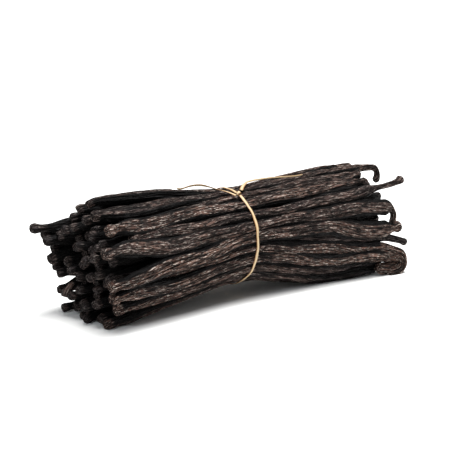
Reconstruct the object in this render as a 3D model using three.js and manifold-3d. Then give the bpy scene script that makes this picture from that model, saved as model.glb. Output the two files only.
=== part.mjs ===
// A bundle of about seventy cured vanilla pods, tied round its waist with one strand of raffia.
// Millimetres, +Z up, standing on Z = 0. The pods lie along X, their blunt blossom ends at -X
// and their thin curled stems at +X. The tie is at X = 0 until the whole is centred at the end.
// A place round the bundle is a clock angle in degrees: 0 on top, 90 on the near side (-Y).

import * as THREE from 'three';
import { mergeVertices } from 'three/addons/utils/BufferGeometryUtils.js';
import Module from 'manifold-3d';

const wasm = await Module();
wasm.setup();

// ---- The bundle: narrow at the tie, flared towards both ends ----
const AXIS_HEIGHT = 27.5;
const TIE_RADIUS = 21.8;
const BLUNT_END = { x: -76, radius: 28 };
const STEM_END = { x: 80, radius: 26.2 };
const SHOULDER = { clock: 332, depth: 4.8, spread: 24 };
const FLARE_POWER = 1.3;
const MIDDLE = { x: 2.34, y: -0.27 };

// ---- A pod: a flattened tube that thins to a blunt nub at one end and a stem at the other ----
const OUTER_WIDTH = 7.2;
const INNER_WIDTH = 6.3;
const POD_THICKNESS = 4.7;
const NECK_SHARE = 0.6;
const END_TAPER = 12;
const KNOB_SPREAD = 1.6;
const LINE_STEP = 1;
const WANDER = 1.5;
const WANDER_WAVE = 46;
const TIE_SQUEEZE = 0.3;
const TIE_REACH = 30;

// ---- How finely the solids are cut ----
const OUTER_SIDES = 6;
const INNER_SIDES = 5;
const RING_GAP = 18;
const TIP_RING_GAP = 8;
const RING_TURN = 36;
const BLUNT_STUB = 36;
const STEM_STUB = 34;

// ---- The core that the pods are fused to ----
const CORE_SINK = 3;
const CORE_FROM = -68;
const CORE_TO = 70;
const CORE_STOPS = [CORE_FROM, -50, -25, 0, 25, 50, CORE_TO];
const CORE_SIDES = 12;

// ---- The raffia: a flat strand ----
const STRAND_WIDTH = 1.5;
const STRAND_THICKNESS = 0.6;
const STRAND_GAP = 0.8;
const TAIL_STEPS = 14;
const KNOT = { x: 0.6, clock: 20, length: 4.2, width: 3.4, height: 2.2 };

const UP = 0;
const DOWN = 180;
const FAR = 270;

// A tip runs on from its pod in arcs: [length, bend in degrees, clock angle it bends towards].
// It thins from the pod to the tip's radius over the taper.
function tip(radius, knob, arcs, taper = END_TAPER) {
  return { radius, knob, arcs, taper };
}

const HOOK = tip(1.4, 1.7, [[15, 8, DOWN], [10, 130, DOWN]]);
const KNOBBED_STICK = tip(1.25, 1.8, [[15, 6, DOWN], [9, 8, UP], [4, 30, UP]]);
const ROUND_KNOB = tip(1.6, 2.4, [[8, 4, FAR]], 7);
const PLAIN_STICK = tip(1.5, 1.6, [[21, 12, DOWN]]);
const WIDE_CURL = tip(2.4, 2.3, [[8, 10, DOWN], [10, 12, DOWN], [11.5, 150, DOWN], [5, 5, UP]]);
const TIGHT_CURL = tip(2.5, 2.3, [[11, 12, DOWN], [7, 160, DOWN], [12, 10, UP]]);
const ARCHED = tip(1.3, 1.5, [[1, 10, DOWN], [8, 90, DOWN], [3, 5, DOWN]], 6);
const FOLD = tip(1.9, 2, [[3, 30, DOWN], [7, 150, FAR]]);
const SHORT_STEM = tip(1.7, 1.9, [[6, 12, FAR]], 8);
const THICK_STEM = tip(2, 2.2, [[7, 20, FAR]]);
const BROAD_NUB = tip(1.9, 2.3, [[6, 8, DOWN]]);
const POINTED_NUB = tip(1.5, 1.4, [[7, 22, DOWN]]);
const LONG_NUB = tip(1.6, 2.1, [[13, 6, UP]]);
const BENT_NUB = tip(1.7, 1.9, [[4, 6, DOWN], [8, 60, DOWN]]);

// The near-side pods from the top down. Their clock angles are given at the blunt end, half
// way to the tie, at the tie, half way to the stem end and at the stem end, and sunk is how
// deep their middle lies under the bundle's outline at the same five places.
const NEAR_PODS = [
  {
    clock: [-8, -11, -12, -17, -17], sunk: [-0.6, -0.9, 2.2, 2.2, 2.6],
    from: -69, to: 72, width: 6.6, blunt: POINTED_NUB, stem: FOLD,
  },
  {
    clock: [24, 17, 5, 2, 0], sunk: [3.6, 2, 2.4, 2.8, 4],
    from: -76, to: 77, width: 7, stem: HOOK,
  },
  {
    clock: [34, 27, 20, 22, 25], sunk: [7, 5, 2.6, 2.4, 2.4],
    from: -62, to: 70, width: 7, stem: SHORT_STEM,
  },
  {
    clock: [48, 40, 35, 34, 38], sunk: [2.4, 2.2, 2.4, 2.4, 2.6],
    from: -75, to: 69, width: 8, stem: SHORT_STEM,
  },
  {
    clock: [59, 56, 52, 53, 49], sunk: [3.4, 3, 2.4, 2.4, 2.6],
    from: -64, to: 70, width: 6, stem: KNOBBED_STICK,
  },
  {
    clock: [69, 72, 67, 67, 73], sunk: [2.4, 2.4, 2.4, 2.2, 2.4],
    from: -81, to: 81, width: 7.6, stem: ARCHED,
  },
  {
    clock: [99, 91, 81, 85, 101], sunk: [2.2, 2, 2.4, 2.2, 2],
    from: -79, to: 82, width: 8.4, stem: ROUND_KNOB,
  },
  {
    clock: [100, 98, 90, 98, 110], sunk: [8, 8, 7.5, 4, 3],
    from: -76, to: 76, width: 6, stem: PLAIN_STICK,
  },
  {
    clock: [107, 104, 96, 111, 120], sunk: [6.5, 5, 2.5, 1.8, -0.5],
    from: -72, to: 72, width: 7, stem: WIDE_CURL,
  },
  {
    clock: [115, 118, 110, 125, 128], sunk: [2.4, 2.2, 2.4, 0, -2],
    from: -77, to: 79, width: 7.8, stem: TIGHT_CURL,
  },
  {
    clock: [133, 137, 126, 138, 141], sunk: [2.4, 2.4, 2.4, -1.5, -1.2],
    from: -71, to: 77, width: 7.4, stem: THICK_STEM,
  },
  {
    clock: [143, 146, 139, 148, 145], sunk: [4, 3, 2.6, -3.9, -4.6],
    from: -68, to: 73, width: 7.2, stem: THICK_STEM,
  },
  {
    clock: [152, 157, 152, 160, 159], sunk: [-1, 1, 2.4, -2.4, -1],
    from: -73, to: 70, width: 7.4, stem: THICK_STEM,
  },
].map((pod) => ({ blunt: BROAD_NUB, ...pod }));

// The other pods lie in rings: how many, from which clock angle and in what steps, at what
// share of the bundle's radius, and how deep under that.
const RINGS = [
  { count: 12, first: 165, step: 15.2, share: 1, sunk: 2.4, width: OUTER_WIDTH },
  { count: 18, first: 112, step: 360 / 19, share: 0.69, sunk: 0, width: INNER_WIDTH },
  { count: 15, first: 25, step: 360 / 15, share: 0.49, sunk: 0, width: INNER_WIDTH },
  { count: 9, first: 0, step: 360 / 9, share: 0.3, sunk: 0, width: INNER_WIDTH },
  { count: 4, first: 60, step: 360 / 4, share: 0.12, sunk: 0, width: INNER_WIDTH },
];

// Ring pods that lie differently, by ring and place in it: ends that stand out at the far side,
// a bottom row that has slid flat on the ground, a hollow near the top, and stubs between stems.
const MARKED_PODS = [
  { level: 0, place: 3, from: -71, sunk: [-0.7, 1, 2.4, 2.4, 2.4] },
  { level: 0, place: 4, from: -73, sunk: [-4.4, -1, 2.4, 2.4, 2.4], clock: [219, 222, 225, 225, 225] },
  { level: 0, place: 5, from: -75, sunk: [-1.2, 1.5, 2.4, 2.4, 2.4], clock: [234, 238, 241, 241, 241] },
  { level: 0, place: 7, from: -76 },
  { level: 0, place: 8, from: -80, blunt: BROAD_NUB },
  { level: 0, place: 9, from: -80, clock: [301, 301, 302, 302, 302], blunt: LONG_NUB },
  { level: 0, place: 11, from: -73, sunk: [-1.2, 1, 2.4, 2.4, 2.4] },
  { level: 1, place: 6, from: -72, blunt: BENT_NUB },
  { level: 1, place: 8, from: -80, clock: [268, 266, 264, 264, 264], blunt: BROAD_NUB },
  { level: 1, place: 9, from: -83, clock: [293, 289, 284, 282, 280], blunt: BROAD_NUB },
  { level: 1, place: 11, from: -80 },
  { level: 1, place: 14, from: -60 },
  { level: 1, place: 15, from: -60, to: 76, stem: SHORT_STEM },
  { level: 1, place: 16, to: 80, stem: SHORT_STEM },
  { level: 1, place: 17, from: -77, to: 79, stem: SHORT_STEM },
];

const clamp = THREE.MathUtils.clamp;
const lerp = THREE.MathUtils.lerp;
const radians = THREE.MathUtils.degToRad;

// A fixed pseudo-random draw between -1 and 1 for one trait of one pod.
function draw(pod, trait) {
  const scrambled = Math.sin(pod * 127.1 + trait * 311.7) * 43758.5453;
  return 2 * (scrambled - Math.floor(scrambled)) - 1;
}

function easeIn(share) {
  const t = clamp(share, 0, 1);
  return t * t * (3 - 2 * t);
}

function outlineRadius(x, clock = 0) {
  const end = x < 0 ? BLUNT_END : STEM_END;
  const flare = Math.pow(x / end.x, FLARE_POWER);
  const offShoulder = ((clock + 720 - SHOULDER.clock + 180) % 360 - 180) / SHOULDER.spread;
  const dip = x < 0 ? SHOULDER.depth * Math.exp(-(offShoulder ** 2)) : 0;
  return TIE_RADIUS + (end.radius - TIE_RADIUS - dip) * flare;
}

// A smooth run through five values, which are given from the blunt end to the stem end.
function along(values, x) {
  const place = clamp(2 + (x < 0 ? -2 * x / BLUNT_END.x : 2 * x / STEM_END.x), 0, 4);
  const before = Math.min(Math.floor(place), 3);
  const t = place - before;
  const [a, b, c, d] = [-1, 0, 1, 2].map((i) => values[clamp(before + i, 0, 4)]);
  const bend = 2 * a - 5 * b + 4 * c - d;
  const twist = 3 * b - a - 3 * c + d;
  return b + 0.5 * t * (c - a + t * (bend + t * twist));
}

function outward(clock) {
  return new THREE.Vector3(0, -Math.sin(radians(clock)), Math.cos(radians(clock)));
}

// ---- Which pods there are ----

function drawnBlunt(number) {
  const knob = 1.9 + 0.25 * draw(number, 2);
  const arc = [4 + 2 * draw(number, 4), 16 + 14 * draw(number, 5), 180 * draw(number, 6)];
  return tip(1.6 + 0.2 * draw(number, 3), knob, [arc]);
}

function drawnStem(number, clock) {
  const reach = 6 + 3 * draw(number, 10);
  const hook = [
    [reach + 2, 8, clock + 180],
    [10, 110 + 25 * draw(number, 11), clock + 180 + 50 * draw(number, 13)],
  ];
  const stick = [
    [reach, 8 + 6 * draw(number, 11), clock + 180],
    [7, 20 + 16 * draw(number, 12), 180 * draw(number, 13)],
  ];
  const arcs = draw(number, 7) > 0.6 ? hook : stick;
  return tip(1.5 + 0.2 * draw(number, 8), 1.8 + 0.3 * draw(number, 9), arcs);
}

function ringPod(ring, level, place, number) {
  const home = ring.first + place * ring.step;
  return {
    outer: level === 0,
    clock: [14, 15, 0, 16, 17].map((trait) => home + (trait ? 4 * draw(number, trait) : 0)),
    sunk: [18, 19, 0, 20, 21].map((trait) => ring.sunk + (trait ? 0.8 * draw(number, trait) : 0)),
    share: ring.share,
    from: -75.5 + 4.5 * draw(number, 22),
    to: 70 + 4 * draw(number, 23),
    width: ring.width + 0.5 * draw(number, 24),
  };
}

function allPods() {
  const pods = NEAR_PODS.map((pod) => ({ share: 1, outer: true, ...pod }));
  RINGS.forEach((ring, level) => {
    for (let place = 0; place < ring.count; place++) {
      const marked = MARKED_PODS.find((mark) => mark.level === level && mark.place === place);
      pods.push({ ...ringPod(ring, level, place, pods.length), ...marked });
    }
  });
  return pods.map((pod, number) => ({
    number,
    thickness: POD_THICKNESS + 0.3 * draw(number, 25),
    blunt: drawnBlunt(number),
    stem: drawnStem(number, pod.clock[4]),
    ...pod,
  }));
}

// ---- A pod's centreline: points with the direction that its flat side faces ----

function bodyPoint(pod, x) {
  const wave = Math.sin((2 * Math.PI * x) / WANDER_WAVE + 3 * pod.number);
  const clock = along(pod.clock, x) + WANDER * wave * easeIn(Math.abs(x) / 20);
  const radius = outlineRadius(x, clock) * pod.share - along(pod.sunk, x);
  const facing = outward(clock);
  const point = facing.clone().multiplyScalar(radius);
  point.x = x;
  point.z = Math.max(point.z + AXIS_HEIGHT, pod.thickness / 2);
  return { point, facing };
}

function sweep(tip, last, previous) {
  const heading = last.point.clone().sub(previous.point).normalize();
  const places = [];
  let { point, facing } = last;
  for (const [length, bend, towards] of tip.arcs) {
    const steps = Math.round(length / LINE_STEP);
    const hinge = heading.clone().cross(outward(towards)).normalize();
    for (let step = 0; step < steps; step++) {
      heading.applyAxisAngle(hinge, radians(bend / steps));
      point = point.clone().addScaledVector(heading, length / steps);
      facing = facing.clone().addScaledVector(heading, -facing.dot(heading)).normalize();
      places.push({ point, facing });
    }
  }
  return places;
}

function centreline(pod) {
  const body = [];
  for (let x = pod.from; x <= pod.to; x += LINE_STEP) body.push(bodyPoint(pod, x));
  const blunt = sweep(pod.blunt, body[0], body[1]);
  const stem = sweep(pod.stem, body.at(-1), body.at(-2));
  const line = [...blunt.reverse(), ...body, ...stem];
  let distance = 0;
  line.forEach((place, i) => {
    if (i > 0) distance += place.point.distanceTo(line[i - 1].point);
    place.distance = distance;
    const ahead = line[Math.min(i + 1, line.length - 1)].point;
    const behind = line[Math.max(i - 1, 0)].point;
    place.heading = ahead.clone().sub(behind).normalize();
    place.facing.addScaledVector(place.heading, -place.facing.dot(place.heading)).normalize();
  });
  return line;
}

function neckLength(tip) {
  return NECK_SHARE * tip.arcs.reduce((sum, [length]) => sum + length, 0);
}

// Half the width and half the thickness of a pod at a place on its centreline.
function girth(pod, { distance, point }, length) {
  const toTip = Math.min(distance, length - distance);
  const tip = distance < length / 2 ? pod.blunt : pod.stem;
  const bluntSwell = easeIn((distance - neckLength(pod.blunt)) / pod.blunt.taper);
  const stemSwell = easeIn((length - distance - neckLength(pod.stem)) / pod.stem.taper);
  const swell = bluntSwell * stemSwell;
  const knob = (tip.knob - tip.radius) * Math.exp(-(((toTip - tip.knob) / KNOB_SPREAD) ** 2));
  const squeeze = 1 - TIE_SQUEEZE * Math.exp(-((point.x / TIE_REACH) ** 2));
  const rounding = toTip < tip.knob ? Math.sqrt(1 - (1 - toTip / tip.knob) ** 2) : 1;
  return {
    halfWidth: rounding * (lerp(tip.radius, (pod.width / 2) * squeeze, swell) + knob),
    halfThickness: rounding * (lerp(tip.radius, pod.thickness / 2, swell) + knob),
  };
}

// ---- Solids ----

function solidOf(geometry) {
  const bare = geometry.clone();
  bare.deleteAttribute('normal');
  bare.deleteAttribute('uv');
  const merged = mergeVertices(bare, 1e-4);
  return new wasm.Manifold(new wasm.Mesh({
    numProp: 3,
    vertProperties: new Float32Array(merged.attributes.position.array),
    triVerts: new Uint32Array(merged.index.array),
  }));
}

function geometryOf(solid) {
  const { vertProperties, triVerts } = solid.getMesh();
  const geometry = new THREE.BufferGeometry();
  geometry.setAttribute('position', new THREE.BufferAttribute(vertProperties, 3));
  geometry.setIndex(new THREE.BufferAttribute(triVerts, 1));
  geometry.computeVertexNormals();
  return geometry;
}

// The places of a centreline that get a ring of corners: closer together where it turns.
function ringPlaces(line) {
  const capRise = 0.7;
  const rings = [line.find((place) => place.distance >= capRise)];
  const length = line.at(-1).distance;
  for (const place of line) {
    const gap = place.distance - rings.at(-1).distance;
    const turn = THREE.MathUtils.radToDeg(place.heading.angleTo(rings.at(-1).heading));
    const nearTip = Math.min(place.distance, length - place.distance) < END_TAPER;
    const wide = gap >= (nearTip ? TIP_RING_GAP : RING_GAP) || turn > RING_TURN;
    if (gap > 0 && wide && place.distance < length - 2 * capRise) rings.push(place);
  }
  rings.push(line.findLast((place) => place.distance <= length - capRise));
  return rings;
}

// A lathe turns the pod as a straight blank along Y, which is then laid along its centreline.
function podSolid(pod, sides, wanted) {
  const fullness = Math.sqrt((2 * Math.PI / sides) / Math.sin(2 * Math.PI / sides));
  const line = centreline(pod);
  const length = line.at(-1).distance;
  const rings = ringPlaces(line).filter((place) => wanted(place.distance, length));
  const first = rings[0].distance < END_TAPER ? line[0] : rings[0];
  const last = length - rings.at(-1).distance < END_TAPER ? line.at(-1) : rings.at(-1);
  const places = [first, ...rings, last];
  const profile = places.map((place, i) => new THREE.Vector2(i % (places.length - 1) === 0 ? 0 : 1, i));
  const blank = new THREE.LatheGeometry(profile, sides);
  const corners = blank.attributes.position;
  for (let i = 0; i < corners.count; i++) {
    const place = places[Math.round(corners.getY(i))];
    const { halfWidth, halfThickness } = girth(pod, place, length);
    const sideways = place.facing.clone().cross(place.heading);
    const corner = place.point.clone()
      .addScaledVector(sideways, corners.getX(i) * halfWidth * fullness)
      .addScaledVector(place.facing, -corners.getZ(i) * halfThickness * fullness);
    corners.setXYZ(i, corner.x, corner.y, corner.z);
  }
  return solidOf(blank);
}

function coreSolid() {
  const outline = CORE_STOPS.map((x) => new THREE.Vector2(outlineRadius(x) - CORE_SINK, x));
  outline.unshift(new THREE.Vector2(0, CORE_FROM));
  outline.push(new THREE.Vector2(0, CORE_TO));
  const turned = new THREE.LatheGeometry(outline, CORE_SIDES);
  turned.rotateZ(-Math.PI / 2);
  turned.translate(0, 0, AXIS_HEIGHT);
  return solidOf(turned);
}

// Everything below the ground that the bundle lies on.
function belowGround() {
  const block = new THREE.BoxGeometry(300, 120, 20);
  block.translate(0, 0, -10);
  return solidOf(block);
}

function podsGeometry(pods) {
  const whole = () => true;
  const bluntStub = (distance) => distance < BLUNT_STUB;
  const stemStub = (distance, length) => distance > length - STEM_STUB;
  let solid = coreSolid();
  for (const pod of pods) {
    if (pod.outer) {
      solid = solid.add(podSolid(pod, OUTER_SIDES, whole));
    } else {
      solid = solid.add(podSolid(pod, INNER_SIDES, bluntStub));
      solid = solid.add(podSolid(pod, INNER_SIDES, stemStub));
    }
  }
  const shells = solid.subtract(belowGround()).decompose();
  shells.sort((a, b) => b.volume() - a.volume());
  return geometryOf(shells[0]);
}

// ---- The raffia ----

function strandPoint({ x, clock, lift }) {
  const point = outward(clock).multiplyScalar(outlineRadius(x) + lift);
  return new THREE.Vector3(x, point.y, point.z + AXIS_HEIGHT);
}

// The loop is drawn tight over the crests of the outer pods.
function loopSolid(pods) {
  const clocks = pods.filter((pod) => pod.outer).map((pod) => pod.clock[2]).sort((a, b) => a - b);
  const crests = (lift) => clocks.map((clock) => {
    const { y, z } = strandPoint({ x: 0, clock, lift });
    return new THREE.Vector2(y, z);
  });
  const outline = new THREE.Shape(crests(STRAND_GAP + STRAND_THICKNESS));
  outline.holes.push(new THREE.Path(crests(STRAND_GAP)));
  const loop = new THREE.ExtrudeGeometry(outline, { depth: STRAND_WIDTH, bevelEnabled: false });
  loop.translate(0, 0, -STRAND_WIDTH / 2);
  loop.applyMatrix4(new THREE.Matrix4().makeBasis(
    new THREE.Vector3(0, 1, 0), new THREE.Vector3(0, 0, 1), new THREE.Vector3(1, 0, 0)));
  return solidOf(loop);
}

function knotSolid() {
  const knot = new THREE.SphereGeometry(0.5, 10, 6);
  knot.scale(KNOT.width, KNOT.length, KNOT.height);
  knot.rotateX(radians(KNOT.clock));
  const middle = strandPoint({ x: KNOT.x, clock: KNOT.clock, lift: STRAND_GAP + KNOT.height / 2 });
  knot.translate(middle.x, middle.y, middle.z);
  return solidOf(knot);
}

function tailGeometry(route) {
  const points = route.map(([x, clock, lift]) => strandPoint({ x, clock, lift }));
  const path = new THREE.CatmullRomCurve3(points);
  const section = new THREE.Shape();
  section.absellipse(0, 0, STRAND_THICKNESS / 2, STRAND_WIDTH / 2, 0, 2 * Math.PI);
  return new THREE.ExtrudeGeometry(section, {
    steps: TAIL_STEPS,
    curveSegments: 2,
    extrudePath: path,
    bevelEnabled: false,
  });
}

// Both tails start beside the knot: [x, clock angle, height over the bundle's outline].
const LEFT_TAIL = [
  [-2.2, 23.5, 1.2], [-3.4, 19, 1.3], [-5, 14.5, 1.5], [-7, 10.5, 1.8], [-9.2, 7, 2.2],
  [-11.4, 3, 2.8], [-13.4, -1, 3.3], [-15.6, -3.2, 3.6], [-18, -3.8, 3.6], [-20.4, -3.2, 3.5],
  [-22.6, -2, 3.3], [-24.8, -0.6, 3.1], [-26.8, 0.8, 3], [-28.4, 1.6, 3.1], [-29.6, 1.8, 3.4],
];
const RIGHT_TAIL = [
  [3, 16.5, 1.7], [5, 12, 1.8], [7.4, 7, 1.7], [10, 2, 1.6], [12.6, -3, 1.5],
  [15.6, -7, 1.4], [19, -9, 1.3], [22, -8.5, 1.2], [25, -5.5, 1.2], [28, -1.5, 1.2],
  [31, 2.5, 1.2], [34, 6, 1.2], [37, 8.5, 1.2], [40, 10, 1.2], [42.5, 10.5, 1.3],
];

function podSkin() {
  return new THREE.MeshStandardMaterial({ color: 0x33282a, roughness: 0.5, metalness: 0 });
}

function raffiaFibre() {
  return new THREE.MeshStandardMaterial({ color: 0xcfae72, roughness: 0.6, metalness: 0 });
}

function addPart(group, name, geometry, material) {
  const mesh = new THREE.Mesh(geometry, material);
  mesh.name = name;
  group.add(mesh);
}

const pods = allPods();
const bundle = new THREE.Group();
bundle.position.set(-MIDDLE.x, -MIDDLE.y, 0);
addPart(bundle, 'vanilla_pods', podsGeometry(pods), podSkin());
addPart(bundle, 'raffia_tie', geometryOf(loopSolid(pods).add(knotSolid())), raffiaFibre());
addPart(bundle, 'raffia_tail_left', tailGeometry(LEFT_TAIL), raffiaFibre());
addPart(bundle, 'raffia_tail_right', tailGeometry(RIGHT_TAIL), raffiaFibre());

export default bundle;
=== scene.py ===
import math
from itertools import product

import bmesh
import bpy
import numpy as np
from mathutils import Matrix, Quaternion, Vector


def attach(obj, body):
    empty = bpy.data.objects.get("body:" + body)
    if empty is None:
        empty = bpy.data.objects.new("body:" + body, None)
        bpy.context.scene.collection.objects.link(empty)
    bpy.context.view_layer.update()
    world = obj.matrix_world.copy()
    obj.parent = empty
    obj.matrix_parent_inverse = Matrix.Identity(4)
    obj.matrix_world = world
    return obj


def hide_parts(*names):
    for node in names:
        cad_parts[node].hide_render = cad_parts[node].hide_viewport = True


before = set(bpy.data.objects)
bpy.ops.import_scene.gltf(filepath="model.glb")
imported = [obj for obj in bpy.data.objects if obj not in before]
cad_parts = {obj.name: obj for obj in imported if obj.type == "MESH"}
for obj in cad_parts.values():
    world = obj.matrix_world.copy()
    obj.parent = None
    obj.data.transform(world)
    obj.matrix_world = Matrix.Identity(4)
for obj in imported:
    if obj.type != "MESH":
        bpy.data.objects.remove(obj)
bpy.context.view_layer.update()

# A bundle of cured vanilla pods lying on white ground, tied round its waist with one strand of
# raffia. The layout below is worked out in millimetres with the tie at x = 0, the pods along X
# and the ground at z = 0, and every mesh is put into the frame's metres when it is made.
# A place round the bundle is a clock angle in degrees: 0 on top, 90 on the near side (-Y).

MM = 0.001

# ---- The bundle: narrow at the tie, flared towards both ends ----
AXIS_HEIGHT = 27.5
TIE_RADIUS = 21.8
BLUNT_X, BLUNT_RADIUS = -76, 28
STEM_X, STEM_RADIUS = 80, 26.2
SHOULDER_CLOCK, SHOULDER_DEPTH, SHOULDER_SPREAD = 332, 4.8, 24
FLARE_POWER = 1.3
# Where the frame's origin lies: the middle of the solids' length and width.
MIDDLE = Vector((2.34, -0.27, 0))

# ---- A pod: a flattened tube that thins to a blunt nub at one end and a stem at the other ----
OUTER_WIDTH = 7.2
INNER_WIDTH = 6.3
POD_THICKNESS = 4.7
NECK_SHARE = 0.6
END_TAPER = 12
KNOB_SPREAD = 1.6
LINE_STEP = 1
WANDER = 1.5
WANDER_WAVE = 46
TIE_SQUEEZE = 0.3
TIE_REACH = 30

UP, DOWN, FAR = 0, 180, 270


def tip(radius, knob, *arcs, taper=END_TAPER):
    """A pod's end, which runs on in arcs of (length, bend in degrees, clock it bends towards)."""
    return {"radius": radius, "knob": knob, "arcs": arcs, "taper": taper}


HOOK = tip(1.4, 1.7, (15, 8, DOWN), (10, 130, DOWN))
KNOBBED_STICK = tip(1.25, 1.8, (15, 6, DOWN), (9, 8, UP), (4, 30, UP))
ROUND_KNOB = tip(1.6, 2.4, (8, 4, FAR), taper=7)
PLAIN_STICK = tip(1.5, 1.6, (21, 12, DOWN))
WIDE_CURL = tip(2.4, 2.3, (8, 10, DOWN), (10, 12, DOWN), (11.5, 150, DOWN), (5, 5, UP))
TIGHT_CURL = tip(2.5, 2.3, (11, 12, DOWN), (7, 160, DOWN), (12, 10, UP))
ARCHED = tip(1.3, 1.5, (1, 10, DOWN), (8, 90, DOWN), (3, 5, DOWN), taper=6)
FOLD = tip(1.9, 2, (3, 30, DOWN), (7, 150, FAR))
SHORT_STEM = tip(1.7, 1.9, (6, 12, FAR), taper=8)
THICK_STEM = tip(2, 2.2, (7, 20, FAR))
BROAD_NUB = tip(1.9, 2.3, (6, 8, DOWN))
POINTED_NUB = tip(1.5, 1.4, (7, 22, DOWN))
LONG_NUB = tip(1.6, 2.1, (13, 6, UP))
BENT_NUB = tip(1.7, 1.9, (4, 6, DOWN), (8, 60, DOWN))


def near_pod(clock, sunk, start, end, width, stem=None, blunt=BROAD_NUB):
    """A pod that shows: its clock angle and its depth under the outline at five stations."""
    pod = {"clock": clock, "sunk": sunk, "start": start, "end": end, "width": width}
    pod["blunt"] = blunt
    if stem:
        pod["stem"] = stem
    return pod


# From the top down.
NEAR_PODS = [
    near_pod(
        [-8, -11, -12, -17, -17], [-0.6, -0.9, 2.2, 2.2, 2.6], -69, 72, 6.6, FOLD, POINTED_NUB,
    ),
    near_pod([24, 17, 5, 2, 0], [3.6, 2, 2.4, 2.8, 4], -76, 77, 7, HOOK),
    near_pod([34, 27, 20, 22, 25], [7, 5, 2.6, 2.4, 2.4], -62, 70, 7, SHORT_STEM),
    near_pod([48, 40, 35, 34, 38], [2.4, 2.2, 2.4, 2.4, 2.6], -75, 69, 8, SHORT_STEM),
    near_pod([59, 56, 52, 53, 49], [3.4, 3, 2.4, 2.4, 2.6], -64, 70, 6, KNOBBED_STICK),
    near_pod([69, 72, 67, 67, 73], [2.4, 2.4, 2.4, 2.2, 2.4], -81, 81, 7.6, ARCHED),
    near_pod([99, 91, 81, 85, 101], [2.2, 2, 2.4, 2.2, 2], -79, 82, 8.4, ROUND_KNOB),
    near_pod([100, 98, 90, 98, 110], [8, 8, 7.5, 4, 3], -76, 76, 6, PLAIN_STICK),
    near_pod([107, 104, 96, 111, 120], [6.5, 5, 2.5, 1.8, -0.5], -72, 72, 7, WIDE_CURL),
    near_pod([115, 118, 110, 125, 128], [2.4, 2.2, 2.4, 0, -2], -77, 79, 7.8, TIGHT_CURL),
    near_pod([133, 137, 126, 138, 141], [2.4, 2.4, 2.4, -1.5, -1.2], -71, 77, 7.4, THICK_STEM),
    near_pod([143, 146, 139, 148, 145], [4, 3, 2.6, -3.9, -4.6], -68, 73, 7.2, THICK_STEM),
    near_pod([152, 157, 152, 160, 159], [-1, 1, 2.4, -2.4, -1], -73, 70, 7.4, THICK_STEM),
]

# How dry and pale each near pod's skin is at its blunt end, at the tie and at its stem: 0 oily
# and dark, 1 dry and pale. The values also carry painted light: the three lowest pods fall to 0
# at their stems as painted shade, and the 0.9 at the blunt ends of the 4th, 7th and 10th paints
# their sheen.
NEAR_DRYNESS_AND_PAINTED_LIGHT = [
    (0.3, 0.4, 0.5), (0.3, 0.3, 0.4), (0.4, 0.4, 0.4), (0.9, 0.7, 0.5), (0.5, 0.4, 0.3),
    (0.5, 0.5, 0.5), (0.9, 0.7, 0.5), (0.1, 0.1, 0.1), (0.5, 0.7, 0.9), (0.9, 0.6, 0.9),
    (0.7, 0.4, 0), (0.6, 0.3, 0), (0.5, 0.2, 0),
]

# The other pods lie in rings: how many, from which clock angle and in what steps, at what share
# of the bundle's radius, and how deep under that.
RINGS = [
    {"count": 12, "first": 165, "step": 15.2, "share": 1, "sunk": 2.4, "width": OUTER_WIDTH},
    {"count": 18, "first": 112, "step": 360 / 19, "share": 0.69, "sunk": 0, "width": INNER_WIDTH},
    {"count": 15, "first": 25, "step": 360 / 15, "share": 0.49, "sunk": 0, "width": INNER_WIDTH},
    {"count": 9, "first": 0, "step": 360 / 9, "share": 0.3, "sunk": 0, "width": INNER_WIDTH},
    {"count": 4, "first": 60, "step": 360 / 4, "share": 0.12, "sunk": 0, "width": INNER_WIDTH},
]

# Ring pods that lie differently, by ring and place in it: ends that stand out at the far side,
# a bottom row that has slid flat on the ground, a hollow near the top, and stubs between stems.
MARKED_PODS = {
    (0, 3): {"start": -71, "sunk": [-0.7, 1, 2.4, 2.4, 2.4]},
    (0, 4): {"start": -73, "sunk": [-4.4, -1, 2.4, 2.4, 2.4], "clock": [219, 222, 225, 225, 225]},
    (0, 5): {"start": -75, "sunk": [-1.2, 1.5, 2.4, 2.4, 2.4], "clock": [234, 238, 241, 241, 241]},
    (0, 7): {"start": -76},
    (0, 8): {"start": -80, "blunt": BROAD_NUB},
    (0, 9): {"start": -80, "clock": [301, 301, 302, 302, 302], "blunt": LONG_NUB},
    (0, 11): {"start": -73, "sunk": [-1.2, 1, 2.4, 2.4, 2.4]},
    (1, 6): {"start": -72, "blunt": BENT_NUB},
    (1, 8): {"start": -80, "clock": [268, 266, 264, 264, 264], "blunt": BROAD_NUB},
    (1, 9): {"start": -83, "clock": [293, 289, 284, 282, 280], "blunt": BROAD_NUB},
    (1, 11): {"start": -80},
    (1, 14): {"start": -60},
    (1, 15): {"start": -60, "end": 76, "stem": SHORT_STEM},
    (1, 16): {"end": 80, "stem": SHORT_STEM},
    (1, 17): {"start": -77, "end": 79, "stem": SHORT_STEM},
}

# ---- The raffia: one flat strand, whose tails start beside the knot ----
STRAND_WIDTH = 1.5
STRAND_THICKNESS = 0.4
KNOT_X, KNOT_CLOCK = 0.6, 20

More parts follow.
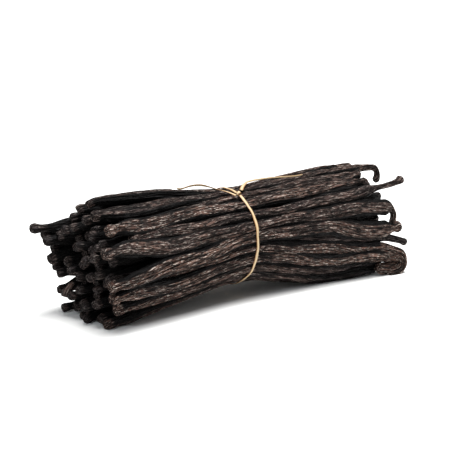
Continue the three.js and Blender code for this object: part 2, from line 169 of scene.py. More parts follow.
# Each point of a tail is [x, clock angle, height over the bundle's outline].
LEFT_TAIL = [
    [-2.2, 23.5, 1.2], [-3.4, 19, 1.3], [-5, 14.5, 1.5], [-7, 10.5, 1.8], [-9.2, 7, 2.2],
    [-11.4, 3, 2.8], [-13.4, -1, 3.3], [-15.6, -3.2, 3.6], [-18, -3.8, 3.6], [-20.4, -3.2, 3.5],
    [-22.6, -2, 3.3], [-24.8, -0.6, 3.1], [-26.8, 0.8, 3], [-28.4, 1.6, 3.1], [-29.6, 1.8, 3.4],
]
RIGHT_TAIL = [
    [3, 16.5, 1.7], [5, 12, 1.8], [7.4, 7, 1.7], [10, 2, 1.6], [12.6, -3, 1.5],
    [15.6, -7, 1.4], [19, -9, 1.3], [22, -8.5, 1.2], [25, -5.5, 1.2], [28, -1.5, 1.2],
    [31, 2.5, 1.2], [34, 6, 1.2], [37, 8.5, 1.2], [40, 10, 1.2], [42.5, 10.5, 1.3],
]


# ---- Small sums ----

# Factors that scramble a place or a count into a draw.
HASH_X, HASH_Y, HASH_Z = 127.1, 311.7, 74.7
HASH_SPREAD = 43758.5453
SEED_STEP = 19.19


def draw(pod, trait):
    """A fixed pseudo-random draw between -1 and 1 for one trait of one pod."""
    scrambled = math.sin(pod * HASH_X + trait * HASH_Y) * HASH_SPREAD
    return 2 * (scrambled - math.floor(scrambled)) - 1


def ease_in(share):
    t = np.clip(share, 0, 1)
    return t * t * (3 - 2 * t)


def outline_radius(x, clock=0.0):
    end, radius = (BLUNT_X, BLUNT_RADIUS) if x < 0 else (STEM_X, STEM_RADIUS)
    flare = (x / end) ** FLARE_POWER
    off_shoulder = (math.fmod(clock + 720 - SHOULDER_CLOCK + 180, 360) - 180) / SHOULDER_SPREAD
    dip = SHOULDER_DEPTH * math.exp(-off_shoulder ** 2) if x < 0 else 0
    return TIE_RADIUS + (radius - TIE_RADIUS - dip) * flare


def between(a, b, c, d, t):
    """A smooth run from b to c, where a comes before them and d after them."""
    bend = 2 * a - 5 * b + 4 * c - d
    twist = 3 * b - a - 3 * c + d
    return b + 0.5 * t * (c - a + t * (bend + t * twist))


def along(values, x):
    """A smooth run through five values, given from the blunt end to the stem end."""
    place = min(max(2 - 2 * x / BLUNT_X if x < 0 else 2 + 2 * x / STEM_X, 0), 4)
    before = min(math.floor(place), 3)
    return between(*(values[min(max(before + i, 0), 4)] for i in (-1, 0, 1, 2)), place - before)


def outward(clock):
    angle = math.radians(clock)
    return Vector((0, -math.sin(angle), math.cos(angle)))


def noise_at(points, seed):
    """Smooth noise between -1 and 1 that is fixed for a place and a seed."""
    cell = np.floor(points)
    t = points - cell
    t = t * t * (3 - 2 * t)
    total = np.zeros(points.shape[:-1])
    for corner in product((0, 1), repeat=3):
        weight = np.prod(np.where(corner, t, 1 - t), axis=-1)
        mixed = (cell + corner) @ (HASH_X, HASH_Y, HASH_Z) + seed * SEED_STEP
        scrambled = np.sin(mixed) * HASH_SPREAD
        total += weight * (2 * (scrambled - np.floor(scrambled)) - 1)
    return total


# ---- Which pods there are ----

def drawn_blunt(number):
    knob = 1.9 + 0.25 * draw(number, 2)
    arc = (4 + 2 * draw(number, 4), 16 + 14 * draw(number, 5), 180 * draw(number, 6))
    return tip(1.6 + 0.2 * draw(number, 3), knob, arc)


def drawn_stem(number, clock):
    reach = 6 + 3 * draw(number, 10)
    hook = (
        (reach + 2, 8, clock + 180),
        (10, 110 + 25 * draw(number, 11), clock + 180 + 50 * draw(number, 13)),
    )
    stick = (
        (reach, 8 + 6 * draw(number, 11), clock + 180),
        (7, 20 + 16 * draw(number, 12), 180 * draw(number, 13)),
    )
    arcs = hook if draw(number, 7) > 0.6 else stick
    return tip(1.5 + 0.2 * draw(number, 8), 1.8 + 0.3 * draw(number, 9), *arcs)


def ring_pod(ring, level, place, number):
    home = ring["first"] + place * ring["step"]
    return {
        "clock": [home + (4 * draw(number, i) if i else 0) for i in (14, 15, 0, 16, 17)],
        "sunk": [ring["sunk"] + (0.8 * draw(number, i) if i else 0) for i in (18, 19, 0, 20, 21)],
        "share": ring["share"],
        "start": -75.5 + 4.5 * draw(number, 22),
        "end": 70 + 4 * draw(number, 23),
        "width": ring["width"] + 0.5 * draw(number, 24),
        "level": level + 1,
        **MARKED_PODS.get((level, place), {}),
    }


def all_pods():
    pods = [
        {"share": 1, "level": 0, "dryness_and_painted_light": dryness_and_painted_light, **pod}
        for pod, dryness_and_painted_light in zip(NEAR_PODS, NEAR_DRYNESS_AND_PAINTED_LIGHT)
    ]
    for level, ring in enumerate(RINGS):
        for place in range(ring["count"]):
            pods.append(ring_pod(ring, level, place, len(pods)))
    return [
        {
            "number": number,
            "thickness": POD_THICKNESS + 0.3 * draw(number, 25),
            "dryness_and_painted_light": (0.5 + 0.5 * draw(number, 31), 0.5 + 0.5 * draw(number, 31)),
            "blunt": drawn_blunt(number),
            "stem": drawn_stem(number, pod["clock"][4]),
            **pod,
        }
        for number, pod in enumerate(pods)
    ]


# ---- A pod's centreline: points with the direction that its flat side faces ----

def body_place(pod, x):
    wave = math.sin(2 * math.pi * x / WANDER_WAVE + 3 * pod["number"])
    clock = along(pod["clock"], x) + WANDER * wave * ease_in(abs(x) / 20)
    facing = outward(clock)
    point = facing * (outline_radius(x, clock) * pod["share"] - along(pod["sunk"], x))
    point.x = x
    point.z = max(point.z + AXIS_HEIGHT, pod["thickness"] / 2)
    return point, facing


def sweep(end, last, previous):
    heading = (last[0] - previous[0]).normalized()
    point, facing = last
    places = []
    for length, bend, towards in end["arcs"]:
        steps = int(length / LINE_STEP + 0.5)
        hinge = heading.cross(outward(towards)).normalized()
        for _ in range(steps):
            heading.rotate(Quaternion(hinge, math.radians(bend / steps)))
            point = point + heading * (length / steps)
            facing = (facing - heading * facing.dot(heading)).normalized()
            places.append((point, facing))
    return places


def unit(vectors):
    return vectors / np.linalg.norm(vectors, axis=-1, keepdims=True)


def centreline(pod):
    """Points, facings and distances from the blunt tip, one row for each step."""
    count = int(math.floor((pod["end"] - pod["start"]) / LINE_STEP)) + 1
    body = [body_place(pod, pod["start"] + i * LINE_STEP) for i in range(count)]
    blunt = sweep(pod["blunt"], body[0], body[1])
    stem = sweep(pod["stem"], body[-1], body[-2])
    line = blunt[::-1] + body + stem
    points = np.array([point for point, _ in line])
    facings = np.array([facing for _, facing in line])
    steps = np.linalg.norm(np.diff(points, axis=0), axis=1)
    return points, facings, np.concatenate([[0], np.cumsum(steps)])


def neck_length(end):
    return NECK_SHARE * sum(arc[0] for arc in end["arcs"])


def girth(pod, distance, x, length):
    """Half the width and half the thickness at distances along the pod, before its caps."""
    to_tip = np.minimum(distance, length - distance)
    at_blunt = distance < length / 2
    radius = np.where(at_blunt, pod["blunt"]["radius"], pod["stem"]["radius"])
    knob = np.where(at_blunt, pod["blunt"]["knob"], pod["stem"]["knob"])
    swell = ease_in((distance - neck_length(pod["blunt"])) / pod["blunt"]["taper"])
    swell = swell * ease_in((length - distance - neck_length(pod["stem"])) / pod["stem"]["taper"])
    bump = (knob - radius) * np.exp(-((to_tip - knob) / KNOB_SPREAD) ** 2)
    squeeze = 1 - TIE_SQUEEZE * np.exp(-(x / TIE_REACH) ** 2)
    half_width = radius + (pod["width"] / 2 * squeeze - radius) * swell + bump
    half_thickness = radius + (pod["thickness"] / 2 - radius) * swell + bump
    return half_width, half_thickness


# ---- The skin's relief: creases that run along the pod, sharp at the bottom, round on top ----
TWIST_PER_MM = math.radians(0.35)
# Spacing round the pod, run along it and depth in millimetres, and share in the number that sets
# the painted shade in the creases.
CREASES = [(3.4, 34, 0.5, 0.4), (1.5, 14, 0.4, 0.6)]
CREASE_SHARE = 0.28
# The painted shade in the creases stays lighter than the painted shade in the clefts between the
# pods, which are 0.
CREASE_SHADE_LIMIT = 0.35
KNUCKLE_RUN = 11
KNUCKLE_SHARE = 0.07
KNUCKLE_SEED = 300


def skin_relief(pod, theta, distance):
    """Height over the smooth pod, and a number that is 0 in the creases and 1 on the crests, which
    sets the painted shade in the creases.
    """
    turned = theta + TWIST_PER_MM * distance * (1 + draw(pod["number"], 30))
    height = np.zeros(turned.shape)
    crest_and_painted_shade = np.zeros(turned.shape)
    for level, (spacing, run, depth, share) in enumerate(CREASES):
        reach = OUTER_WIDTH * 0.75 / spacing
        places = np.stack([np.cos(turned) * reach, np.sin(turned) * reach, distance / run], -1)
        ridge = ease_in(np.abs(noise_at(places, pod["number"] * 7 + level)) / CREASE_SHARE)
        height += depth * (ridge - 0.5)
        crest_and_painted_shade += ridge * share
    return height, crest_and_painted_shade


# How far the skin must face out of the bundle to be clear of the painted shade in the clefts
# between the pods, and the length over which a pod's ends come clear of its neighbours and lose
# that painted shade.
CLEFT_FROM = 0.45
CLEFT_TO = 0.8
LOOSE_RUN = 6
# The pods inside the bundle get painted shade over all their skin but their loose ends, and all
# but the near pods are darkest over the last stretch to their blunt tip.
INNER_CLEAR_OF_SHADE = 0.25
DARK_TIP = 16
TIP_DRYNESS = 0.12


def clear_of_cleft_shade(middle, sideways, facing, theta):
    """1 where a pod's skin faces out of the bundle, 0 down in the clefts between the pods, where
    shade is painted.
    """
    out = unit(middle * (0, 1, 1) - (0, 0, AXIS_HEIGHT))
    turned = np.sum(sideways * out, axis=1)[:, None] * np.cos(theta)
    turned += np.sum(facing * out, axis=1)[:, None] * np.sin(theta)
    return ease_in((turned - CLEFT_FROM) / (CLEFT_TO - CLEFT_FROM))


# A cap's rings, from its pole: how far from the tip and how wide, as shares of the knob.
ROUND_CAP = [(0, 0), (0.03, 0.24), (0.13, 0.5), (0.3, 0.72), (0.53, 0.88), (0.79, 0.98)]
DISHED_CAP = [(0.34, 0), (0.28, 0.3), (0.1, 0.55), (0, 0.76), (0.1, 0.93), (0.4, 1)]


def pod_rings(pod, length, fine_step, plain_step, fine_reach):
    """How far along a pod its rings of corners lie, and how wide they are in its caps."""
    ends = []
    for end, cap in ((pod["blunt"], DISHED_CAP), (pod["stem"], ROUND_CAP)):
        plain = np.arange(end["knob"], fine_reach, fine_step)
        distance = np.concatenate([[end["knob"] * rise for rise, _ in cap], plain])
        ends.append((distance, np.concatenate([[width for _, width in cap], plain * 0 + 1])))
    middle = np.arange(fine_reach, length - fine_reach, plain_step)
    distance = np.concatenate([ends[0][0], middle, (length - ends[1][0])[::-1]])
    return distance, np.concatenate([ends[0][1], middle * 0 + 1, ends[1][1][::-1]])


def pod_shape(pod, sides, fine_step, plain_step, fine_reach):
    """Corners of one pod, its quads and end triangles, and what its skin carries. It has fine
    steps along it as far as fine_reach from its tips, and plain steps between."""
    points, facings, run = centreline(pod)
    length = run[-1]
    distance, rounding = pod_rings(pod, length, fine_step, plain_step, fine_reach)

    def at(values, where):
        return np.stack([np.interp(where, run, values[:, axis]) for axis in range(3)], -1)

    middle = at(points, distance)
    heading = unit(at(points, distance + 0.6) - at(points, distance - 0.6))
    facing = at(facings, distance)
    facing = unit(facing - heading * np.sum(facing * heading, axis=1, keepdims=True))
    sideways = np.cross(facing, heading)
    half_width, half_thickness = girth(pod, distance, middle[:, 0], length)
    knuckle_places = np.stack([distance / KNUCKLE_RUN, distance * 0, distance * 0], -1)
    knuckles = 1 + KNUCKLE_SHARE * noise_at(knuckle_places, KNUCKLE_SEED + pod["number"])

    theta = np.linspace(0, 2 * np.pi, sides, endpoint=False)[None, :]
    along_pod = np.repeat(distance[:, None], sides, axis=1)
    height, crest_and_painted_shade = skin_relief(pod, theta, along_pod)
    skin_clear_of_cleft_shade = clear_of_cleft_shade(middle, sideways, facing, theta)
    if pod["level"] > 1:
        skin_clear_of_cleft_shade *= INNER_CLEAR_OF_SHADE
    blunt_run, stem_run = (sum(arc[0] for arc in pod[end]["arcs"]) for end in ("blunt", "stem"))
    loose = ease_in((distance - length + stem_run) / LOOSE_RUN)
    clear = max(blunt_run - LOOSE_RUN, 2)
    loose = np.maximum(loose, ease_in((clear + 2 - distance) / 2))
    # Painted shade: the creases and the clefts between the pods get a low number, which the skin
    # turns near black; a pod's loose ends are clear of the cleft shade.
    crest_and_painted_shade = CREASE_SHADE_LIMIT + (1 - CREASE_SHADE_LIMIT) * crest_and_painted_shade
    crest_and_painted_shade *= skin_clear_of_cleft_shade + (1 - skin_clear_of_cleft_shade) * loose[:, None]
    slimness = np.minimum(half_thickness / (POD_THICKNESS / 2), 1)
    lift = height * slimness[:, None]
    across = np.cos(theta) * rounding[:, None] * ((half_width * knuckles)[:, None] + lift)
    upward = np.sin(theta) * rounding[:, None] * ((half_thickness * knuckles)[:, None] + lift)
    rings = (
        middle[:, None, :]
        + sideways[:, None, :] * across[:, :, None]
        + facing[:, None, :] * upward[:, :, None]
    )
    blank = np.stack([across, upward, along_pod], -1)
    tip_dryness_and_painted_light = TIP_DRYNESS if pod["level"] else pod["dryness_and_painted_light"][0]
    stops = np.linspace(DARK_TIP, length - stem_run, len(pod["dryness_and_painted_light"]))
    dryness_and_painted_light = np.interp(along_pod, (0, *stops), (tip_dryness_and_painted_light, *pod["dryness_and_painted_light"]))

    # The first and the last ring are a single corner each: the poles.
    inner = slice(1, -1)
    corners = np.concatenate([rings[inner].reshape(-1, 3), rings[[0, -1], 0]])
    corners[:, 2] = np.maximum(corners[:, 2], 0)
    blank = np.concatenate([blank[inner].reshape(-1, 3), blank[[0, -1], 0]])
    crest_and_painted_shade, dryness_and_painted_light = (
        np.concatenate([values[inner].ravel(), values[[0, -1], 0]]) for values in (crest_and_painted_shade, dryness_and_painted_light)
    )

    count = len(distance) - 2
    row, side = np.meshgrid(np.arange(count - 1), np.arange(sides), indexing="ij")
    after = (side + 1) % sides
    here, beyond = row * sides, (row + 1) * sides
    quads = np.stack([here + side, here + after, beyond + after, beyond + side], -1).reshape(-1, 4)
    side = np.arange(sides)
    after = (side + 1) % sides
    first, last = count * sides, count * sides + 1
    top_row = (count - 1) * sides
    ends = np.concatenate([
        np.stack([np.full(sides, first), after, side], -1),
        np.stack([np.full(sides, last), top_row + side, top_row + after], -1),
    ])
    return corners, quads, ends, blank, crest_and_painted_shade, dryness_and_painted_light


# How far apart two pods' skin coordinates lie, so that no two carry the same pattern.
BLANK_GAP = 300


def pods_piece(name, pods, material, *cut):
    """One mesh of many pods, each a closed body with its own skin coordinates and its dryness with
    painted light. The cut is as in pod_shape."""
    corners, faces, blanks, crests, dryness_and_painted_light_parts = [], [], [], [], []
    start = 0
    for pod in pods:
        shape, quads, ends, blank, crest_and_painted_shade, dryness_and_painted_light = pod_shape(pod, *cut)
        corners.append(shape)
        faces += (quads + start).tolist() + (ends + start).tolist()
        blanks.append(blank + (0, 0, BLANK_GAP * pod["number"]))
        crests.append(crest_and_painted_shade)
        dryness_and_painted_light_parts.append(dryness_and_painted_light)
        start += len(shape)
    mesh = bpy.data.meshes.new(name)
    places = (np.concatenate(corners) - np.array(MIDDLE)) * MM
    mesh.from_pydata(places.tolist(), [], faces)
    for label, kind, values in (
        ("blank", "FLOAT_VECTOR", np.concatenate(blanks)),
        ("crest_and_painted_shade", "FLOAT", np.concatenate(crests)),
        ("dryness_and_painted_light", "FLOAT", np.concatenate(dryness_and_painted_light_parts)),
    ):
        field = "vector" if kind == "FLOAT_VECTOR" else "value"
        mesh.attributes.new(label, kind, "POINT").data.foreach_set(field, values.ravel())
    mesh.shade_smooth()
    mesh.materials.append(material)
    piece = bpy.data.objects.new(name, mesh)
    bpy.context.scene.collection.objects.link(piece)
    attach(piece, "root")
    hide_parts("vanilla_pods")


# ---- Materials ----

def linear(hex_colour):
    """An sRGB hex colour as the linear RGBA that Blender's sockets take."""
    channels = [int(hex_colour[i:i + 2], 16) / 255 for i in (1, 3, 5)]
    return [c / 12.92 if c <= 0.04045 else ((c + 0.055) / 1.055) ** 2.4 for c in channels] + [1]


def add_node(tree, kind, inputs, **settings):
    """Adds a node, sets its settings, and sets or joins each of its inputs."""
    node = tree.nodes.new(kind)
    for name, value in settings.items():
        setattr(node, name, value)
    for socket, value in inputs.items():
        if isinstance(value, bpy.types.NodeSocket):
            tree.links.new(value, node.inputs[socket])
        else:
            node.inputs[socket].default_value = value
    return node


def new_material(name):
    material = bpy.data.materials.new(name)
    material.use_nodes = True
    return material, material.node_tree, material.node_tree.nodes["Principled BSDF"]


def cured_pod_skin():
    """Vanilla pod, sweated and dried until it is a wrinkled hide with an oily film. Painted shade
    makes it almost black in the creases and between the pods; it is brown to grey-brown on the
    crests, where pale flecks are painted glints."""
    material, tree, shader = new_material("cured_pod_skin")
    blank = add_node(tree, "ShaderNodeAttribute", {}, attribute_name="blank").outputs["Vector"]
    crest_and_painted_shade = add_node(tree, "ShaderNodeAttribute", {}, attribute_name="crest_and_painted_shade").outputs["Fac"]
    dryness_and_painted_light = add_node(tree, "ShaderNodeAttribute", {}, attribute_name="dryness_and_painted_light").outputs["Fac"]

    # Fine wrinkles 1 mm apart and 10 mm long.
    wrinkle_place = add_node(
        tree, "ShaderNodeMapping", {"Vector": blank, "Scale": (1.0, 1.0, 0.1)},
    )
    wrinkle = add_node(
        tree, "ShaderNodeTexNoise",
        {"Vector": wrinkle_place.outputs[0], "Scale": 1.0, "Detail": 1.0, "Roughness": 0.5},
    ).outputs["Fac"]
    wrinkle = add_node(
        tree, "ShaderNodeMath", {0: wrinkle, 1: 0.5}, operation="SUBTRACT",
    ).outputs[0]
    wrinkle = add_node(tree, "ShaderNodeMath", {0: wrinkle}, operation="ABSOLUTE").outputs[0]
    ridge = add_node(
        tree, "ShaderNodeMapRange", {"Value": wrinkle, "From Min": 0.0, "From Max": 0.15},
        interpolation_type="SMOOTHSTEP",
    ).outputs[0]
    # Patches about 6 mm across and 20 mm long.
    patch_place = add_node(
        tree, "ShaderNodeMapping", {"Vector": blank, "Scale": (0.16, 0.16, 0.05)},
    )
    patch = add_node(
        tree, "ShaderNodeTexNoise",
        {"Vector": patch_place.outputs[0], "Scale": 1.0, "Detail": 2.0, "Roughness": 0.5},
    ).outputs["Fac"]
    # Grain of the hide, drawn about 0.4 mm wide and 2 mm long so that it shows. It also places the
    # painted glints.
    grain_place = add_node(tree, "ShaderNodeMapping", {"Vector": blank, "Scale": (2.4, 2.4, 0.5)})
    grain = add_node(
        tree, "ShaderNodeTexNoise",
        {"Vector": grain_place.outputs[0], "Scale": 1.0, "Detail": 2.0, "Roughness": 0.6},
    ).outputs["Fac"]

    # Pods with low values have few dry patches and few painted glints.
    pale_share = add_node(
        tree, "ShaderNodeMapRange", {"Value": dryness_and_painted_light, "To Min": 0.08},
    ).outputs[0]
    patch_share = add_node(
        tree, "ShaderNodeMapRange",
        {"Value": patch, "From Min": 0.4, "From Max": 0.62, "To Max": pale_share},
    ).outputs[0]
    # Cool dark grey at low values, red-brown at high ones. The low end is also painted shade on
    # the stem halves of the three lowest near pods, and its cool grey is a painted cool sheen on
    # the dark tips.
    hide = add_node(
        tree, "ShaderNodeMix",
        {0: dryness_and_painted_light, 6: linear("#25262A"), 7: linear("#593C31")}, data_type="RGBA",
    ).outputs[2]
    hide = add_node(
        tree, "ShaderNodeMix",
        {0: patch_share, 6: hide, 7: linear("#7C6054")}, data_type="RGBA",
    ).outputs[2]
    crest_and_painted_shade_share = add_node(
        tree, "ShaderNodeMapRange", {"Value": crest_and_painted_shade, "From Min": 0.4, "From Max": 0.9},
    ).outputs[0]
    # Painted glints: pale flecks where the grain is high.
    painted_glint_share = add_node(
        tree, "ShaderNodeMapRange",
        {"Value": grain, "From Min": 0.54, "From Max": 0.62, "To Max": pale_share},
    ).outputs[0]
    hide = add_node(
        tree, "ShaderNodeMix",
        {0: painted_glint_share, 6: hide, 7: linear("#E0D2C6")}, data_type="RGBA",
    ).outputs[2]
    # Painted shade: the grooves of the fine wrinkles are darkened almost to black.
    hide = add_node(
        tree, "ShaderNodeMix", {0: ridge, 6: linear("#120C0A"), 7: hide}, data_type="RGBA",
    ).outputs[2]
    # Painted shade: near black in the creases and in the clefts between the pods.
    hide = add_node(
        tree, "ShaderNodeMix", {0: crest_and_painted_shade_share, 6: linear("#050303"), 7: hide}, data_type="RGBA",
    ).outputs[2]
    tree.links.new(hide, shader.inputs["Base Color"])

    roughness = add_node(
        tree, "ShaderNodeMapRange",
        {"Value": grain, "From Min": 0.4, "From Max": 0.65, "To Min": 0.65, "To Max": 0.3},
    ).outputs[0]
    roughness = add_node(
        tree, "ShaderNodeMix", {0: ridge, 2: 0.9, 3: roughness}, data_type="FLOAT",
    ).outputs[0]
    tree.links.new(roughness, shader.inputs["Roughness"])
    bump = add_node(
        tree, "ShaderNodeBump",
        {"Height": grain, "Strength": 1.0, "Distance": 0.9 * MM},
    )
    bump = add_node(
        tree, "ShaderNodeBump",
        {"Height": ridge, "Strength": 1.0, "Distance": 0.45 * MM, "Normal": bump.outputs[0]},
    )
    tree.links.new(bump.outputs[0], shader.inputs["Normal"])
    shader.inputs["IOR"].default_value = 1.48
    shader.inputs["Specular IOR Level"].default_value = 0.18
    return material


def raffia_fibre():
    """Raffia, a dried strip of palm leaf: pale straw in the middle of the strip, golden brown
    towards both its edges, with fibres along it and a faint gloss."""
    material, tree, shader = new_material("raffia_fibre")
    strip = add_node(tree, "ShaderNodeAttribute", {}, attribute_name="strip").outputs["Vector"]
    # Fibres 0.2 mm apart and 8 mm long.
    fibre_place = add_node(tree, "ShaderNodeMapping", {"Vector": strip, "Scale": (3.8, 5, 0.12)})
    fibre = add_node(
        tree, "ShaderNodeTexNoise",
        {"Vector": fibre_place.outputs[0], "Scale": 1.0, "Detail": 2.0, "Roughness": 0.5},
    ).outputs["Fac"]
    apart = add_node(tree, "ShaderNodeSeparateXYZ", {"Vector": strip})
    from_middle = add_node(
        tree, "ShaderNodeMath", {0: apart.outputs["X"]}, operation="ABSOLUTE",
    ).outputs[0]
    edge = add_node(
        tree, "ShaderNodeMapRange", {"Value": from_middle, "From Min": 0.25, "From Max": 0.95},
    ).outputs[0]
    straw = add_node(
        tree, "ShaderNodeMix",
        {0: fibre, 6: linear("#B4935F"), 7: linear("#E2D2AF")}, data_type="RGBA",
    ).outputs[2]
    straw = add_node(
        tree, "ShaderNodeMix",
        {0: edge, 6: straw, 7: linear("#8A5824")}, data_type="RGBA",
    ).outputs[2]
    tree.links.new(straw, shader.inputs["Base Color"])
    bump = add_node(
        tree, "ShaderNodeBump", {"Height": fibre, "Strength": 0.6, "Distance": 0.1 * MM},
    )
    tree.links.new(bump.outputs[0], shader.inputs["Normal"])
    shader.inputs["Roughness"].default_value = 0.5
    shader.inputs["Sheen Weight"].default_value = 0.1
    return material


def matt_paper():
    """Matt white paper under the bundle, with a tooth too fine to see."""
    material, _, shader = new_material("matt_paper")
    shader.inputs["Base Color"].default_value = linear("#F6F6F4")
    shader.inputs["Roughness"].default_value = 0.9
    shader.inputs["Specular IOR Level"].default_value = 0.1
    return material


# ---- The raffia's strands ----
STRAND_SIDES = 16
SPLINE_STEPS = 10
TAIL_PLACES = 60
TIE_TURN_STEP = 3
# The loop lies this far off the crests, and the corners this near to it count as its crests.
LOOP_GAP = 0.15
LOOP_REACH = 1.2
# The knot's short turn: half its turn in degrees, its step, and its reach up, along and sideways.
KNOT_TURN, KNOT_STEP = 110, 10
KNOT_UP, KNOT_ALONG, KNOT_SIDE = 0.9, 1.1, 0.5
KNOT_WIDTH = 1.7


def strand(shape, places, widths, thickness):
    """Draws a flat strand through places of (middle, direction its flat side faces).
    Its section is a circle that every step carries on to the next place."""
    strip = shape.verts.layers.float_vector.get("strip")
    ring = bmesh.ops.create_circle(shape, segments=STRAND_SIDES, radius=1)["verts"]
    bmesh.ops.contextual_create(shape, geom=ring)
    edges = list(dict.fromkeys(edge for vert in ring for edge in vert.link_edges))
    travelled = 0.0
    stands = Matrix.Identity(4)
    for i, (middle, facing) in enumerate(places):
        ahead = places[min(i + 1, len(places) - 1)][0]
        behind = places[max(i - 1, 0)][0]
        heading = (ahead - behind).normalized()
        facing = (facing - heading * facing.dot(heading)).normalized()
        across = facing.cross(heading)
        axes = Matrix((across * widths[i] / 2, facing * thickness / 2, heading)).transposed()
        place = Matrix.Translation(middle) @ axes.to_4x4()
        if i:
            travelled += (middle - places[i - 1][0]).length
            grown = bmesh.ops.extrude_edge_only(shape, edges=edges)["geom"]
            ring = [part for part in grown if isinstance(part, bmesh.types.BMVert)]
            edges = [part for part in grown if isinstance(part, bmesh.types.BMEdge)]
            edges = [edge for edge in edges if all(vert in ring for vert in edge.verts)]
        bmesh.ops.transform(shape, matrix=place @ stands.inverted(), verts=ring)
        stands = place
        for vert in ring:
            offset = vert.co - middle
            vert[strip] = (offset.dot(across) * 2 / widths[i], offset.dot(facing), travelled)
    bmesh.ops.contextual_create(shape, geom=edges)
    bmesh.ops.recalc_face_normals(shape, faces=shape.faces)


def sort_by_corners(shape):
    """Puts the edges and faces in the order of the corners they join. Extruding leaves them
    in an order that changes from run to run."""
    shape.verts.index_update()
    for parts in (shape.edges, shape.faces):
        ordered = sorted(parts, key=lambda part: sorted(vert.index for vert in part.verts))
        for place, part in enumerate(ordered):
            part.index = place
        parts.sort()


def raffia_piece(name, node, strands, material):
    shape = bmesh.new()
    shape.verts.layers.float_vector.new("strip")
    for places, widths, thickness in strands:
        strand(shape, places, widths, thickness)
    sort_by_corners(shape)
    bmesh.ops.translate(shape, vec=-MIDDLE, verts=shape.verts)
    bmesh.ops.scale(shape, vec=(MM, MM, MM), verts=shape.verts)
    mesh = bpy.data.meshes.new(name)
    shape.to_mesh(mesh)
    shape.free()
    mesh.shade_smooth()
    mesh.materials.append(material)
    piece = bpy.data.objects.new(name, mesh)
    bpy.context.scene.collection.objects.link(piece)
    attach(piece, "root")
    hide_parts(node)
    return piece


def smooth_route(points, count):
    """Even places on a smooth curve through points."""
    points = [Vector(point) for point in points]
    dense = []
    for i in range(len(points) - 1):
        around = [points[min(max(i + k, 0), len(points) - 1)] for k in (-1, 0, 1, 2)]
        dense += [between(*around, step / SPLINE_STEPS) for step in range(SPLINE_STEPS)]
    dense.append(points[-1])
    dense = np.array(dense)
    run = np.concatenate([[0], np.cumsum(np.linalg.norm(np.diff(dense, axis=0), axis=1))])
    stops = np.linspace(0, run[-1], count)
    route = np.stack([np.interp(stops, run, dense[:, axis]) for axis in range(3)], -1)
    return [Vector(point) for point in route], run[-1]


def strand_point(x, clock, lift):
    point = outward(clock) * (outline_radius(x) + lift)
    return Vector((x, point.y, point.z + AXIS_HEIGHT))


def tail(name, node, stations, material, twist, widths):
    """A loose end of the strand: broad beside the knot, and turned on edge further out."""
    route, length = smooth_route([strand_point(*station) for station in stations], TAIL_PLACES)
    last = TAIL_PLACES - 1
    station_shares = np.linspace(0, 1, len(stations))
    station_clocks = [clock for _, clock, _ in stations]
    clocks = np.interp(np.linspace(0, 1, TAIL_PLACES), station_shares, station_clocks)
    places = []
    for i, (middle, clock) in enumerate(zip(route, clocks)):
        facing = outward(clock)
        heading = (route[min(i + 1, last)] - route[max(i - 1, 0)]).normalized()
        facing.rotate(Quaternion(heading, math.radians(np.interp(i / last, *twist))))
        places.append((middle, facing))
    spread = [STRAND_WIDTH * np.interp(i / last, *widths) for i in range(TAIL_PLACES)]
    piece = raffia_piece(name, node, [(places, spread, STRAND_THICKNESS)], material)


def waist_points(pods):
    """Corners of the outer pods close to the tie."""
    near_tie = []
    for pod in pods:
        corners = pod_shape(pod, sides=24, fine_step=4, plain_step=1, fine_reach=20)[0]
        near_tie.append(corners[np.abs(corners[:, 0]) < LOOP_REACH])
    return np.concatenate(near_tie)


def tie_places(pods):
    """Once round the bundle, tight over the crests of the outer pods."""
    corners = waist_points(pods) - (0, 0, AXIS_HEIGHT)
    places = []
    for turn in np.arange(0, 361, TIE_TURN_STEP):
        clock = KNOT_CLOCK + turn
        facing = outward(clock)
        reach = np.max(corners @ np.array(facing)) + STRAND_THICKNESS / 2 + LOOP_GAP
        sway = 0.25 * math.sin(math.radians(2 * turn + 40)) + 0.6 * math.cos(math.radians(turn))
        middle = facing * reach + Vector((sway, 0, AXIS_HEIGHT))
        places.append((middle, facing))
    return places


def knot_places():
    """A short turn of the strand over the crossing."""
    middle = strand_point(KNOT_X, KNOT_CLOCK, KNOT_UP)
    facing = outward(KNOT_CLOCK)
    ahead = Vector((1, 0, 0))
    side = facing.cross(ahead)
    places = []
    for turn in range(-KNOT_TURN, KNOT_TURN + 1, KNOT_STEP):
        angle = math.radians(turn)
        lift = facing * (KNOT_UP * math.cos(angle)) + ahead * (KNOT_ALONG * math.sin(angle))
        places.append((middle + lift + side * (turn / KNOT_TURN * KNOT_SIDE), lift.normalized()))
    return places


# ---- Build ----
skin = cured_pod_skin()
raffia = raffia_fibre()
pods = all_pods()

# How finely a pod is cut: sides, fine step, plain step and fine reach. Hidden pods are coarsest.
NEAR_CUT = (88, 0.9, 0.9, 20)
pods_piece("near_pods_upper", pods[:5], skin, *NEAR_CUT)
pods_piece("near_pods_middle", pods[5:9], skin, *NEAR_CUT)
pods_piece("near_pods_lower", pods[9:13], skin, *NEAR_CUT)
pods_piece("far_side_pods", pods[13:25], skin, 56, 1.2, 1.2, 20)
pods_piece("second_layer_pods", pods[25:43], skin, 28, 1.2, 5, 34)
pods_piece("inner_pods", pods[43:], skin, 20, 1.2, 5, 30)

loop = tie_places([pod for pod in pods if pod["level"] <= 1])
loop_widths = [STRAND_WIDTH * (1.05 + 0.12 * math.sin(i * 0.5)) for i in range(len(loop))]
turn = knot_places()
raffia_piece(
    "tie_strand", "raffia_tie",
    [(loop, loop_widths, STRAND_THICKNESS), (turn, [KNOT_WIDTH] * len(turn), STRAND_THICKNESS)],
    raffia,
)
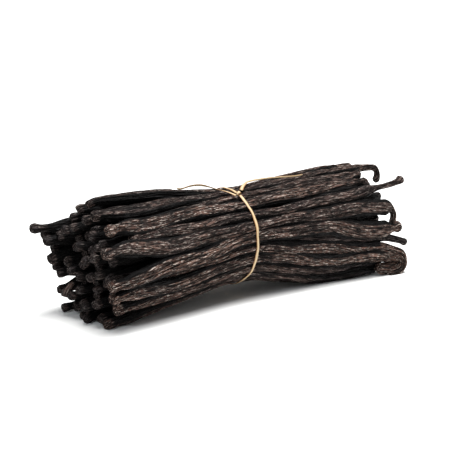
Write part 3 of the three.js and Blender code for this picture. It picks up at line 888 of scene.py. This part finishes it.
# A tail's twist in degrees and its width, each at shares of its length.
tail("left_tail", "raffia_tail_left", LEFT_TAIL, raffia,
     ([0, 0.3, 0.5, 1], [0, 20, 60, 75]), ([0, 0.35, 0.7, 1], [1, 0.9, 0.7, 0.5]))
tail("right_tail", "raffia_tail_right", RIGHT_TAIL, raffia,
     ([0, 0.25, 0.45, 1], [0, 0, 70, 80]), ([0, 0.2, 0.45, 1], [1.2, 1.1, 0.6, 0.45]))

# ---- The ground ----
GROUND_REACH = 6
ground_shape = bmesh.new()
bmesh.ops.create_grid(ground_shape, x_segments=1, y_segments=1, size=GROUND_REACH)
ground_mesh = bpy.data.meshes.new("ground")
ground_shape.to_mesh(ground_mesh)
ground_shape.free()
ground_mesh.materials.append(matt_paper())
ground = bpy.data.objects.new("ground", ground_mesh)
bpy.context.scene.collection.objects.link(ground)

# ---- Camera ----
CAMERA_TURN = math.radians(-39)
CAMERA_RISE = math.radians(13)
CAMERA_FAR = 750
PIXELS_PER_MM = 2.145
TIE_PIXEL = (227, 236)
IMAGE_SIZE = 450
SENSOR = 36

back = Vector((
    math.sin(CAMERA_TURN) * math.cos(CAMERA_RISE),
    -math.cos(CAMERA_TURN) * math.cos(CAMERA_RISE),
    math.sin(CAMERA_RISE),
))
right = Vector((math.cos(CAMERA_TURN), math.sin(CAMERA_TURN), 0))
up = back.cross(right)
off_right = (TIE_PIXEL[0] - IMAGE_SIZE / 2) / PIXELS_PER_MM
off_up = (IMAGE_SIZE / 2 - TIE_PIXEL[1]) / PIXELS_PER_MM
eye = Vector((0, 0, AXIS_HEIGHT)) + back * CAMERA_FAR - right * off_right - up * off_up
camera = bpy.data.objects.new("camera", bpy.data.cameras.new("camera"))
bpy.context.scene.collection.objects.link(camera)
camera.data.sensor_width = SENSOR
camera.data.lens = PIXELS_PER_MM * CAMERA_FAR / IMAGE_SIZE * SENSOR
camera.matrix_world = (
    Matrix.Translation((eye - MIDDLE) * MM) @ Matrix((right, up, back)).transposed().to_4x4()
)
camera.data.clip_start, camera.data.clip_end = 0.01, 50
bpy.context.scene.camera = camera

# ---- Light: a wide soft light overhead, a softbox for the gloss, a window and a dim room ----
def aimed(name, kind, place, aim):
    lamp = bpy.data.lights.new(name, kind)
    stand = bpy.data.objects.new(name, lamp)
    stand.location = place
    stand.rotation_mode = "QUATERNION"
    stand.rotation_quaternion = (Vector(aim) - Vector(place)).to_track_quat("-Z", "Y")
    bpy.context.scene.collection.objects.link(stand)
    return lamp


overhead = aimed("overhead_light", "SUN", (0, -0.15, 1), (0, 0, 0))
overhead.energy = 3.8
overhead.angle = math.radians(38)
softbox = aimed("gloss_softbox", "AREA", (0.2, 0, 0.75), (0, 0, 0.03))
softbox.shape = "RECTANGLE"
softbox.size, softbox.size_y = 0.3, 0.2
softbox.energy = 4
window = aimed("side_window", "AREA", (-0.6, -0.2, 0.4), (-0.06, 0, 0.03))
window.shape = "RECTANGLE"
window.size, window.size_y = 0.2, 0.2
window.energy = 1.2
window.color = (0.88, 0.94, 1)

world = bpy.data.worlds.new("pale_room")
world.use_nodes = True
world.node_tree.nodes["Background"].inputs["Color"].default_value = (1, 1, 1, 1)
world.node_tree.nodes["Background"].inputs["Strength"].default_value = 0.2
bpy.context.scene.world = world
bpy.context.scene.view_settings.view_transform = "Standard"
